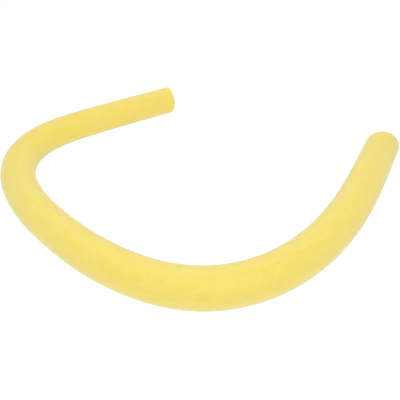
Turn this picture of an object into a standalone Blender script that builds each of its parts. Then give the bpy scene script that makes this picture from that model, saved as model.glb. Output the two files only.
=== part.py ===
"""A foam pool noodle: one extruded tube of closed-cell foam, sawn off at both ends, that lies bent
on the floor. +Z is up, the bend opens towards +Y, and the origin is on the floor under its middle."""

import math

import bmesh
import bpy
from mathutils import Vector

# Driving dimensions, in metres
noodle_length = 1.500  # along the middle of the foam
noodle_diameter = 0.065  # over the flats of the outside, which lies on one of them
bore_diameter = 0.022  # the hole that the pin in the extruder's die leaves
end_edge_radius = 0.006  # how round the rim of each cut end is worn
cutter_overrun = 0.010  # how far the bore's cutter runs out of each end
weld_distance = 0.000001  # joins the loose caps of a tube to its wall

# The saw leans a little, so the noodle is longest at its top and on the inside of its bend. Each
# share is how far a cut runs out, as a share of the way up or inward.
lean_up_share = 0.12
lean_in_share = 0.06

# The bend, flat on the floor. The noodle starts at its rear left end and heads forward and left.
# Ten even stretches follow, and each makes its share of the whole turn: the ends are straight,
# the third stretch is the tight bend on the left and the seventh the wider one in front.
start_heading = math.radians(-156)  # from +X, seen from above
bend_turn = math.radians(210)  # to the left, from the start to the other end
bend_shares = (0, 0.02, 0.39, 0.11, 0.04, 0.08, 0.19, 0.12, 0.05, 0)

# How finely it is made
stations = 80  # steps along the noodle
outside_sides = 32
bore_sides = 16
rim_segments = 3
sharp_angle = math.radians(35)  # the facets meet flatter than this, and the rims don't

foam_colour = (0.91, 0.73, 0.16, 1)
foam_roughness = 0.55


def turning_at(share):
    """How fast the noodle turns at this share of its length, on straight lines between the middles
    of the stretches."""
    count = len(bend_shares)
    place = min(max(share * count - 0.5, 0), count - 1)
    before = min(int(place), count - 2)
    part = place - before
    return bend_shares[before] * (1 - part) + bend_shares[before + 1] * part


def centreline(steps):
    """Points along the middle of the noodle, at even steps, with the heading at each."""
    rates = [turning_at(i / steps) for i in range(steps + 1)]
    turned = [0]
    for before, after in zip(rates, rates[1:]):
        turned.append(turned[-1] + (before + after) / 2)
    headings = [start_heading + bend_turn * t / turned[-1] for t in turned]

    step = noodle_length / steps
    points = [Vector((0, 0, 0))]
    for before, after in zip(headings, headings[1:]):
        heading = (before + after) / 2
        points.append(points[-1] + step * Vector((math.cos(heading), math.sin(heading), 0)))
    return points, headings


def run_past(points, headings, length):
    """The same points with the two ends moved outward by a length."""
    first, last = [Vector((math.cos(h), math.sin(h), 0)) for h in (headings[0], headings[-1])]
    return [points[0] - length * first] + points[1:-1] + [points[-1] + length * last]


def tube(name, points, diameter, sides, collection):
    """A closed tube along the points, as a mesh, with a flat side underneath and one face on each end."""
    curve = bpy.data.curves.new(name, "CURVE")
    curve.dimensions = "3D"
    curve.twist_mode = "Z_UP"
    curve.bevel_depth = diameter / 2 / math.cos(math.pi / sides)
    curve.bevel_resolution = sides // 2 - 2
    curve.use_fill_caps = True
    spline = curve.splines.new("POLY")
    spline.points.add(len(points) - 1)
    for knot, point in zip(spline.points, points):
        knot.co = (*point, 1)
        knot.tilt = math.pi / sides
    guide = bpy.data.objects.new(name + "_guide", curve)
    collection.objects.link(guide)

    bpy.context.view_layer.update()
    evaluated = guide.evaluated_get(bpy.context.evaluated_depsgraph_get())
    mesh = bpy.data.meshes.new_from_object(evaluated)
    built = bmesh.new()
    built.from_mesh(mesh)
    bmesh.ops.remove_doubles(built, verts=built.verts, dist=weld_distance)
    cap_triangles = [face for face in built.faces if len(face.verts) == 3]
    bmesh.ops.dissolve_faces(built, faces=cap_triangles)
    bmesh.ops.recalc_face_normals(built, faces=built.faces)
    built.to_mesh(mesh)
    built.free()
    mesh.name = name
    made = bpy.data.objects.new(name, mesh)
    made.matrix_world = guide.matrix_world.copy()
    collection.objects.link(made)
    bpy.data.objects.remove(guide)
    return made


def lean_cut(mesh, end, heading, way):
    """Leans a flat end of the tube, a ring round a point. Way is 1 where the heading points out of
    that end, and -1 where it points in."""
    outward = way * Vector((math.cos(heading), math.sin(heading), 0))
    inward = Vector((-math.sin(heading), math.cos(heading), 0))
    for vertex in mesh.vertices:
        offset = vertex.co - end
        if abs(offset.dot(outward)) < weld_distance and offset.length < noodle_diameter:
            run_out = lean_up_share * offset.z + lean_in_share * offset.dot(inward)
            vertex.co += run_out * outward


def foam_material():
    """The dyed foam: pale yellow all through, with a satin skin."""
    material = bpy.data.materials.new("yellow_foam")
    material.use_nodes = True
    shader = material.node_tree.nodes["Principled BSDF"]
    shader.inputs["Base Color"].default_value = foam_colour
    shader.inputs["Roughness"].default_value = foam_roughness
    shader.inputs["Metallic"].default_value = 0
    material.diffuse_color = foam_colour
    return material


def round_rims(noodle):
    """Rounds the rim of each cut end. The two rims are the only sharp edges of the plain tube."""
    bevel = noodle.modifiers.new("worn_rims", "BEVEL")
    bevel.width = end_edge_radius
    bevel.segments = rim_segments
    bevel.limit_method = "ANGLE"
    bevel.angle_limit = sharp_angle


def cut_bore(noodle, cutter):
    """Opens the bore from end to end."""
    cutter.hide_render = True
    cutter.display_type = "WIRE"
    cut = noodle.modifiers.new("bore", "BOOLEAN")
    cut.operation = "DIFFERENCE"
    cut.object = cutter
    cut.solver = "EXACT"


def stand_on_origin(objects, body):
    """Moves all objects so that the floor under the middle of the finished body is the origin."""
    finished = body.evaluated_get(bpy.context.evaluated_depsgraph_get())
    corners = [finished.matrix_world @ Vector(corner) for corner in finished.bound_box]
    low = Vector(min(corner[axis] for corner in corners) for axis in range(3))
    high = Vector(max(corner[axis] for corner in corners) for axis in range(3))
    shift = Vector((-(low.x + high.x) / 2, -(low.y + high.y) / 2, -low.z))
    for thing in objects:
        thing.location += shift


for old in list(bpy.data.objects):
    bpy.data.objects.remove(old, do_unlink=True)

parts = bpy.data.collections.new("pool_noodle")
cutters = bpy.data.collections.new("cutters")
for collection in (parts, cutters):
    bpy.context.scene.collection.children.link(collection)

points, headings = centreline(stations)
noodle = tube("foam_noodle", points, noodle_diameter, outside_sides, parts)
lean_cut(noodle.data, points[0], headings[0], -1)
lean_cut(noodle.data, points[-1], headings[-1], 1)
cutter_points = run_past(points, headings, cutter_overrun)
bore_cutter = tube("bore_cutter", cutter_points, bore_diameter, bore_sides, cutters)

noodle.data.materials.append(foam_material())
noodle.data.shade_smooth()
noodle.data.set_sharp_from_angle(angle=sharp_angle)
round_rims(noodle)
cut_bore(noodle, bore_cutter)
stand_on_origin((noodle, bore_cutter), noodle)
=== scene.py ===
"""A yellow foam pool noodle, lying bent on a white studio floor. Lengths are in metres, +Z is up, and
the bend opens towards +Y."""

import math

import bmesh
import bpy
import numpy as np
from mathutils import Euler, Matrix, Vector, noise


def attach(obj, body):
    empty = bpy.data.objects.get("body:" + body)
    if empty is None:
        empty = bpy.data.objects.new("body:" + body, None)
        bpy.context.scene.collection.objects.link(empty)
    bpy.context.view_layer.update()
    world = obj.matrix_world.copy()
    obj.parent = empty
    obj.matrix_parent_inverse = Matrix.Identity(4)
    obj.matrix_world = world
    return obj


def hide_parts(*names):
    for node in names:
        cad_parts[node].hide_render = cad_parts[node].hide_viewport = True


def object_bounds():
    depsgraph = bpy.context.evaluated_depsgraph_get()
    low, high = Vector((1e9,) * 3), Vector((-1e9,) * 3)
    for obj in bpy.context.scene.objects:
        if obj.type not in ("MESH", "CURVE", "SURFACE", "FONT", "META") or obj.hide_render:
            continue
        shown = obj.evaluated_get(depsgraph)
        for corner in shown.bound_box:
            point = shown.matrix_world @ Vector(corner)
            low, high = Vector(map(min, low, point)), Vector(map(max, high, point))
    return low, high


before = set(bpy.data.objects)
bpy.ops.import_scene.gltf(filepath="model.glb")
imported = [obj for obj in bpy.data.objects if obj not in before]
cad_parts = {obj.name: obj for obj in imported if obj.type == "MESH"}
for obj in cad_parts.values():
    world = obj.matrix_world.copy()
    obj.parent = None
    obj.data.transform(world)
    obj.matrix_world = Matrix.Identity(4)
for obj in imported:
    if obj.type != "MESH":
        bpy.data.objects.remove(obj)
cad_low, cad_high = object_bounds()

# The noodle: its foam
# One length of closed-cell polyethylene foam. It was pushed hot through a round die, over a pin that
# left its bore, and then sawn off at both ends. Nothing is fixed to it. It is made straight here and
# bent afterwards, as the real one is.
noodle_length = 1.500  # along the middle of the foam
noodle_diameter = 0.065
bore_diameter = 0.022
rim_radius = 0.006  # how round the sawn rims are worn
mouth_radius = 0.0008  # the same at the mouths of the bore

faces_around = 128
skin_step = 0.0034  # the length of the faces along the skin
sawn_step = 0.0007  # across a sawn face
bore_step = 0.016  # along the bore
rim_steps = 9  # over the round of a rim
flat_end_facing = 0.999  # a flat end's faces point along the noodle more squarely than this

skin_side = noodle_diameter / 2  # from the middle of the foam to its skin
bore_side = bore_diameter / 2
whole_turn = math.tau
quarter_turn = whole_turn / 4


def even_points(first, last, step):
    """Points from first towards last, about a step apart, without the last one."""
    first = np.array(first)
    last = np.array(last)
    count = max(1, round(np.linalg.norm(last - first) / step))
    return [first + (last - first) * i / count for i in range(count)]


def rim_points(centre, radius, first_angle):
    """A quarter circle round a centre, clockwise, without its last point."""
    angles = first_angle - np.arange(rim_steps) / rim_steps * quarter_turn
    return [np.array(centre) + radius * np.array([math.cos(a), math.sin(a)]) for a in angles]


def half_section():
    """The wall of the straight noodle, cut lengthwise, as (along, out) points round its edge."""
    skin_start = rim_radius
    skin_finish = noodle_length - rim_radius
    bore_start = mouth_radius
    bore_finish = noodle_length - mouth_radius
    rim_out = skin_side - rim_radius
    mouth_out = bore_side + mouth_radius

    points = even_points((skin_start, skin_side), (skin_finish, skin_side), skin_step)
    points += rim_points((skin_finish, rim_out), rim_radius, quarter_turn)
    points += even_points((noodle_length, rim_out), (noodle_length, mouth_out), sawn_step)
    points += rim_points((bore_finish, mouth_out), mouth_radius, 0)
    points += even_points((bore_finish, bore_side), (bore_start, bore_side), bore_step)
    points += rim_points((bore_start, mouth_out), mouth_radius, -quarter_turn)
    points += even_points((0, mouth_out), (0, rim_out), sawn_step)
    points += rim_points((skin_start, rim_out), rim_radius, -2 * quarter_turn)
    return points


def straight_noodle():
    """The noodle as it leaves the saw, along +X from the origin, with finer faces on its ends."""
    built = bmesh.new()
    section = half_section()
    turns = [whole_turn * i / faces_around for i in range(faces_around)]
    rings = [
        [built.verts.new((x, out * math.sin(turn), -out * math.cos(turn))) for x, out in section]
        for turn in turns
    ]
    for ring, next_ring in zip(rings, rings[1:] + rings[:1]):
        ahead = ring[1:] + ring[:1]
        next_ahead = next_ring[1:] + next_ring[:1]
        for corners in zip(ring, ahead, next_ahead, next_ring):
            built.faces.new(corners)
    bmesh.ops.recalc_face_normals(built, faces=built.faces)
    end_edges = [
        edge for edge in built.edges
        if any(abs(face.normal.x) > flat_end_facing for face in edge.link_faces)
    ]
    bmesh.ops.subdivide_edges(built, edges=end_edges, cuts=1, use_grid_fill=True)
    foam = bpy.data.meshes.new("foam_noodle")
    built.to_mesh(foam)
    built.free()
    return foam


# The noodle: the relief of its skin and of its sawn faces
# The skin freezes first and shrinks over the cells under it, so it is faintly wavy, lumpy and
# pebbled. The saw opens the cells, which leave shallow bowls with thin walls between them.
wave_length = 0.110  # along the noodle
wave_width = 0.060  # round it
wave_height = 0.00022
lump_size = 0.009
lump_height = 0.00010
pebble_size = 0.0038
pebble_height = 0.00014
cell_size = 0.0017
cell_depth = 0.00042
wall_share = 0.34  # how much of a cell its walls take up
sawn_facing = 0.9  # sawn foam points along the straight noodle more squarely than this
axes = 3


def read_vectors(items, name):
    """What a mesh keeps under a name for each of its items, as an array of vectors."""
    values = np.empty(len(items) * axes)
    items.foreach_get(name, values)
    return values.reshape(-1, axes)


def skin_relief(point):
    """How far the skin, or the wall of the bore, stands out at a point of the straight noodle."""
    x, y, z = point
    wave = noise.noise(Vector((x / wave_length, y / wave_width, z / wave_width)))
    lump = noise.noise(Vector(point) / lump_size)
    pebble = noise.noise(Vector(point) / pebble_size)
    return wave_height * wave + lump_height * lump + pebble_height * pebble


def eased(share):
    """A share from 0 to 1 with a soft start and a soft finish."""
    return share * share * (3 - 2 * share)


def sawn_relief(point):
    """How far a sawn face stands out at a point: 0 on a wall, and less on the floor of a cell."""
    nearest, second = noise.voronoi(Vector(point) / cell_size)[0][:2]
    inside = min((second - nearest) / wall_share, 1)
    return -cell_depth * eased(inside)


def raise_relief(foam):
    """Moves each vertex of the straight noodle out along its normal by the relief there."""
    points = read_vectors(foam.vertices, "co")
    normals = read_vectors(foam.vertex_normals, "vector")
    facings = np.abs(normals[:, 0])
    sawn_shares = np.clip((facings - sawn_facing) / (1 - sawn_facing), 0, 1)
    heights = np.array([
        share * sawn_relief(point) if share > 0 else skin_relief(point)
        for point, share in zip(points, sawn_shares)
    ])
    foam.vertices.foreach_set("co", (points + normals * heights[:, None]).ravel())


# The noodle: its two cuts
# The saw stood a little askew at both ends, so the noodle is longest at its top and on the inside of
# its bend. Each share is how far a cut runs out, as a share of the way up or inward.
lean_up_share = 0.12
lean_in_share = 0.06
lean_reach = 0.060  # the relief is stretched with the lean over this much of each end


def lean_ends(foam):
    """Runs each end of the straight noodle out, the further the higher and the more inward it is."""
    points = read_vectors(foam.vertices, "co")
    x, y, z = points.T
    run_out = lean_in_share * y + lean_up_share * z
    near_start = np.clip(1 - x / lean_reach, 0, 1)
    near_finish = np.clip(1 - (noodle_length - x) / lean_reach, 0, 1)
    points[:, 0] = x + run_out * (near_finish - near_start)
    foam.vertices.foreach_set("co", points.ravel())


# The noodle: its bend
# Foam that was stored bent stays bent. It turns fastest in two places, on the left and in front, and
# its ends are straight. It lies flat, and its weight presses a narrow strip of it to the floor.
start_heading = math.radians(-156)  # at the rear left end, from +X, seen from above
bend_turn = math.radians(210)  # to the left, from that end to the other
bend_shares = (0, 0.02, 0.39, 0.11, 0.04, 0.08, 0.19, 0.12, 0.05, 0)  # of ten even stretches
bend_steps = 1600
pressed_depth = 0.00015


def centreline():
    """Distances along the middle of the bent noodle, with the place and the heading at each."""
    along = np.linspace(0, noodle_length, bend_steps + 1)
    borders = np.linspace(0, noodle_length, len(bend_shares) + 1)
    middles = (borders[1:] + borders[:-1]) / 2
    rates = np.interp(along, middles, bend_shares)
    turned = np.concatenate([[0], np.cumsum((rates[1:] + rates[:-1]) / 2)])
    headings = start_heading + bend_turn * turned / turned[-1]
    between = (headings[1:] + headings[:-1]) / 2
    steps = np.stack([np.cos(between), np.sin(between)], 1) * noodle_length / bend_steps
    places = np.concatenate([[[0, 0]], np.cumsum(steps, 0)])
    return along, places, headings


def bend(foam):
    """Bends the straight noodle flat on the floor, and keeps each vertex's straight place."""
    straight = read_vectors(foam.vertices, "co")
    kept = foam.attributes.new("straight_place", "FLOAT_VECTOR", "POINT")
    kept.data.foreach_set("vector", straight.astype(np.float32).ravel())

    along, places, headings = centreline()
    x, y, z = straight.T
    on_line = np.clip(x, 0, noodle_length)
    past_end = x - on_line
    heading = np.interp(on_line, along, headings)
    ahead_x = np.cos(heading)
    ahead_y = np.sin(heading)
    bent = np.stack([
        np.interp(on_line, along, places[:, 0]) + past_end * ahead_x - y * ahead_y,
        np.interp(on_line, along, places[:, 1]) + past_end * ahead_y + y * ahead_x,
        np.maximum(z + skin_side - pressed_depth, 0),
    ], 1)

    middle = (bent.min(0) + bent.max(0)) / 2
    cad_middle = (cad_low + cad_high) / 2
    bent[:, 0] += cad_middle.x - middle[0]
    bent[:, 1] += cad_middle.y - middle[1]
    foam.vertices.foreach_set("co", bent.ravel())
    foam.update()


# The noodle: what its finishes share
# The foam is dyed yellow all through. A little light goes into it and comes out again, and a faint
# cool bloom makes it paler where it turns away.
foam_refraction = 1.45
foam_evenness = 0.4  # how evenly bright the rough foam looks from its middle to its edges
bloom_strength = 0.33
bloom_tint = (0.78, 0.84, 1.0, 1)
bloom_spread = 0.7
glow_share = 0.3
glow_reach = (1.0, 0.8, 0.3)  # of red, green and blue light, in glow depths
glow_depth = 0.004

to_millimetres = 1000
patch_detail = 3  # how many times finer noise breaks up a patch of colour
grain_detail = 2  # and how many times it breaks up a grain
noise_span = (0.3, 0.7)  # nearly all values of the noise lie in it

# The colour sockets of a Mix node go by number, because their names repeat
mix_share = 0
mix_first = 6
mix_second = 7
mix_result = 2


def add_node(tree, kind, settings, inputs):
    """A shader node with its settings, and with each input set to a value or linked to a socket."""
    made = tree.nodes.new("ShaderNode" + kind)
    for name, value in settings.items():
        setattr(made, name, value)
    for name, value in inputs.items():
        if isinstance(value, bpy.types.NodeSocket):
            tree.links.new(value, made.inputs[name])
        else:
            made.inputs[name].default_value = value
    return made


def place_in(tree, grain):
    """The straight place, counted in grains, which are millimetres along the noodle and across."""
    along, across = grain
    kept = add_node(tree, "Attribute", {"attribute_name": "straight_place"}, {})
    scale = (to_millimetres / along, to_millimetres / across, to_millimetres / across)
    inputs = {0: kept.outputs["Vector"], 1: scale}
    return add_node(tree, "VectorMath", {"operation": "MULTIPLY"}, inputs).outputs["Vector"]


def noise_in(tree, grain, detail):
    """Soft noise with grains of a size."""
    inputs = {"Vector": place_in(tree, grain), "Scale": 1, "Detail": detail}
    return add_node(tree, "TexNoise", {}, inputs).outputs["Fac"]


def cells_in(tree, grain, feature):
    """Distances in foam cells of a size."""
    inputs = {"Vector": place_in(tree, grain), "Scale": 1}
    return add_node(tree, "TexVoronoi", {"feature": feature}, inputs).outputs["Distance"]


def ranged(tree, value, span, new_span):
    """A value mapped from one span to another, and held there."""
    inputs = {
        "Value": value,
        "From Min": span[0],
        "From Max": span[1],
        "To Min": new_span[0],
        "To Max": new_span[1],
    }
    return add_node(tree, "MapRange", {"clamp": True}, inputs).outputs["Result"]


def blended(tree, share, first, second):
    """A colour between two."""
    inputs = {mix_share: share, mix_first: first, mix_second: second}
    return add_node(tree, "Mix", {"data_type": "RGBA"}, inputs).outputs[mix_result]


def added(tree, first, second):
    """The sum of two values."""
    return add_node(tree, "Math", {"operation": "ADD"}, {0: first, 1: second}).outputs[0]


def foam_finish(name, colour_of, roughness_of, height_of, fine_depth):
    """A foam material from functions that give its colour, its roughness and its fine relief."""
    material = bpy.data.materials.new(name)
    material.use_nodes = True
    tree = material.node_tree
    shader = tree.nodes["Principled BSDF"]
    tree.links.new(colour_of(tree), shader.inputs["Base Color"])
    tree.links.new(roughness_of(tree), shader.inputs["Roughness"])
    bump = add_node(tree, "Bump", {}, {"Height": height_of(tree), "Distance": fine_depth})
    tree.links.new(bump.outputs["Normal"], shader.inputs["Normal"])
    shader.inputs["IOR"].default_value = foam_refraction
    shader.inputs["Diffuse Roughness"].default_value = foam_evenness
    shader.inputs["Sheen Weight"].default_value = bloom_strength
    shader.inputs["Sheen Tint"].default_value = bloom_tint
    shader.inputs["Sheen Roughness"].default_value = bloom_spread
    shader.inputs["Subsurface Weight"].default_value = glow_share
    shader.inputs["Subsurface Radius"].default_value = glow_reach
    shader.inputs["Subsurface Scale"].default_value = glow_depth
    return material


# The noodle: the finish of its skin
# The skin is satin, with fine cells that the die drew long, and faint streaks from the die. It is
# palest over the walls between its cells and in soft patches.
skin_yellow = (0.810, 0.640, 0.049, 1)
skin_pale = (0.860, 0.705, 0.125, 1)
skin_patch = (30, 14)  # this grain and those below are millimetres along the noodle and across it
skin_patch_span = (0.35, 0.65)
skin_patch_paleness = 0.35
skin_cell = (2.4, 1.6)
skin_cell_reach = 0.7  # from the middle of a cell to its wall, in cells
skin_wall_paleness = 0.72
skin_grain = (3, 1.5)
skin_roughness_span = (0.44, 0.58)
streak_grain = (60, 1.2)
streak_height = 0.25
skin_fine_depth = 0.00039


def skin_colour(tree):
    """Deep yellow, with pale patches and pale walls between the cells."""
    noisy = noise_in(tree, skin_patch, patch_detail)
    patches = ranged(tree, noisy, skin_patch_span, (0, skin_patch_paleness))
    cells = cells_in(tree, skin_cell, "F1")
    walls = ranged(tree, cells, (0, skin_cell_reach), (0, skin_wall_paleness))
    return blended(tree, added(tree, patches, walls), skin_yellow, skin_pale)


def skin_roughness(tree):
    """Satin, a little uneven."""
    return ranged(tree, noise_in(tree, skin_grain, grain_detail), noise_span, skin_roughness_span)


def skin_height(tree):
    """Cells that stand out at their walls, with streaks over them."""
    cells = cells_in(tree, skin_cell, "SMOOTH_F1")
    noisy = noise_in(tree, streak_grain, grain_detail)
    return added(tree, cells, ranged(tree, noisy, noise_span, (0, streak_height)))


foam_skin = foam_finish("foam_skin", skin_colour, skin_roughness, skin_height, skin_fine_depth)

# The noodle: the finish of its sawn faces
# Sawn foam is duller and paler than the skin. The walls that the saw left standing between the cells
# are the palest. The cells' floors are painted a deeper yellow, as painted shade in their hollows,
# and are full of tiny torn cells.
sawn_pale = (0.910, 0.800, 0.300, 1)
# The floors' deeper yellow is painted shade in the hollows of the cells. In the bore the same yellow
# makes its paler patches.
shaded_floor_and_bore_patch_yellow = (0.850, 0.690, 0.130, 1)
sawn_cell = (1.7, 1.7)
sawn_wall_reach = 0.16  # from the middle of a wall to its foot, in cells
sawn_grain = (1, 1)
sawn_roughness_span = (0.7, 0.85)
tiny_cell = (0.7, 0.7)
torn_grain = (0.3, 0.3)
sawn_fine_depth = 0.00010


def sawn_colour(tree):
    """Pale walls between the floors of the cells, which are painted deeper yellow as shade in their
    hollows.
    """
    from_wall = cells_in(tree, sawn_cell, "DISTANCE_TO_EDGE")
    # The floors of the cells take the deeper yellow, as painted shade in their hollows.
    floors = ranged(tree, from_wall, (0, sawn_wall_reach), (0, 1))
    return blended(tree, floors, sawn_pale, shaded_floor_and_bore_patch_yellow)


def sawn_roughness(tree):
    """Dull."""
    return ranged(tree, noise_in(tree, sawn_grain, grain_detail), noise_span, sawn_roughness_span)


def sawn_height(tree):
    """Tiny cells with torn edges."""
    return added(tree, cells_in(tree, tiny_cell, "F1"), noise_in(tree, torn_grain, grain_detail))


sawn_foam = foam_finish("sawn_foam", sawn_colour, sawn_roughness, sawn_height, sawn_fine_depth)

# The noodle: the finish of its bore
# The pin leaves a skin in the bore that is rougher and more uneven than the one outside. Its yellow
# is painted a little darker, as painted shade inside the bore.
# This yellow is darker than the foam's own, as painted shade inside the bore.
bore_shaded_yellow = (0.780, 0.610, 0.120, 1)
bore_patch = (4, 2)
bore_grain = (2, 1)
bore_roughness_span = (0.6, 0.8)
bore_cell = (1.6, 1.0)
bore_fine_depth = 0.00015


def bore_colour(tree):
    """Yellow painted darker, as painted shade inside the bore, in small patches."""
    return blended(tree, noise_in(tree, bore_patch, patch_detail), bore_shaded_yellow, shaded_floor_and_bore_patch_yellow)


def bore_roughness(tree):
    """Between the skin and sawn foam."""
    return ranged(tree, noise_in(tree, bore_grain, grain_detail), noise_span, bore_roughness_span)


def bore_height(tree):
    """Cells that stand out at their walls."""
    return cells_in(tree, bore_cell, "F1")


bore_wall = foam_finish("bore_wall", bore_colour, bore_roughness, bore_height, bore_fine_depth)

# The noodle: put together
# The straight foam gets its three finishes and its relief, its cuts lean, and then it is bent. One
# closed mesh is the whole noodle.
foam_finishes = (foam_skin, sawn_foam, bore_wall)


def give_finishes(foam):
    """Gives each face of the straight noodle its finish."""
    for finish in foam_finishes:
        foam.materials.append(finish)
    for face in foam.polygons:
        out = math.hypot(face.center.y, face.center.z)
        if out < bore_side + mouth_radius / 2:
            face.material_index = foam_finishes.index(bore_wall)
        elif abs(face.normal.x) > sawn_facing:
            face.material_index = foam_finishes.index(sawn_foam)
    foam.shade_smooth()


noodle_foam = straight_noodle()
give_finishes(noodle_foam)
raise_relief(noodle_foam)
lean_ends(noodle_foam)
bend(noodle_foam)
noodle = bpy.data.objects.new("foam_noodle_skin", noodle_foam)
bpy.context.scene.collection.objects.link(noodle)
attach(noodle, "root")
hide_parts("foam_noodle")

# The floor
# A wide white studio floor. It is lit from under, as a light table is, so that it stays white all
# round the foam.
floor_side = 24.0
floor_gap = 0.0003  # keeps it clear of the foam
floor_grey = (0.15, 0.15, 0.15, 1)  # dark enough that the lamps hardly change its white
floor_roughness = 0.9
floor_light = (1, 1, 1, 1)
floor_glow = 0.900

bpy.ops.mesh.primitive_plane_add(size=floor_side, location=(0, 0, -floor_gap))
floor = bpy.context.object
floor.name = "studio_floor"
floor_finish = bpy.data.materials.new("white_floor")
floor_finish.use_nodes = True
floor_shader = floor_finish.node_tree.nodes["Principled BSDF"]
floor_shader.inputs["Base Color"].default_value = floor_grey
floor_shader.inputs["Roughness"].default_value = floor_roughness
floor_shader.inputs["Specular IOR Level"].default_value = 0
floor_shader.inputs["Emission Color"].default_value = floor_light
floor_shader.inputs["Emission Strength"].default_value = floor_glow
floor.data.materials.append(floor_finish)

# The light
# A pale room and three soft lamps: a small one close over the middle of the bend, a wide one high in
# front, and a wide weaker one high behind. The skin is brightest on its top, towards the middle.
room_white = (1, 1, 1, 1)
room_strength = 0.563
middle_place = Vector((0, 0, 0.8))
middle_side = 0.5
middle_watts = 1.49
front_place = Vector((0, -1.3, 1.5))
front_side = 1.2
front_watts = 14.3
back_place = Vector((0, 1.6, 1.6))
back_side = 1.6
back_watts = 8.0

room = bpy.data.worlds.new("pale_room")
room.use_nodes = True
room_walls = room.node_tree.nodes["Background"]
room_walls.inputs["Color"].default_value = room_white
room_walls.inputs["Strength"].default_value = room_strength
bpy.context.scene.world = room


def hang_lamp(name, place, side, watts):
    """A square soft lamp that faces the origin."""
    lamp = bpy.data.objects.new(name, bpy.data.lights.new(name, "AREA"))
    lamp.data.shape = "SQUARE"
    lamp.data.size = side
    lamp.data.energy = watts
    lamp.location = place
    lamp.visible_camera = False
    lamp.rotation_euler = place.to_track_quat("Z", "Y").to_euler()
    bpy.context.scene.collection.objects.link(lamp)


hang_lamp("middle_lamp", middle_place, middle_side, middle_watts)
hang_lamp("front_lamp", front_place, front_side, front_watts)
hang_lamp("back_lamp", back_place, back_side, back_watts)

# The camera
# It stands in front of the closed side of the bend, about half a metre up, and looks down at the
# noodle. Its lens is wide, and it is held a few degrees askew.
image_side = 400  # pixels
focal_pixels = 334.9
camera_place = Vector((-0.0016, -0.5473, 0.4663))
camera_turn = math.radians(-0.08)  # from +Y, to the left
camera_tilt = math.radians(44.28)  # below level
camera_roll = math.radians(-3.61)

camera = bpy.data.objects.new("camera", bpy.data.cameras.new("camera"))
camera.data.lens = camera.data.sensor_width * focal_pixels / image_side
aim = Euler((quarter_turn - camera_tilt, 0, camera_turn)).to_matrix()
roll = Euler((0, 0, camera_roll)).to_matrix()
camera.location = camera_place
camera.rotation_euler = (aim @ roll).to_euler()
bpy.context.scene.collection.objects.link(camera)
bpy.context.scene.camera = camera
bpy.context.scene.view_settings.view_transform = "Standard"
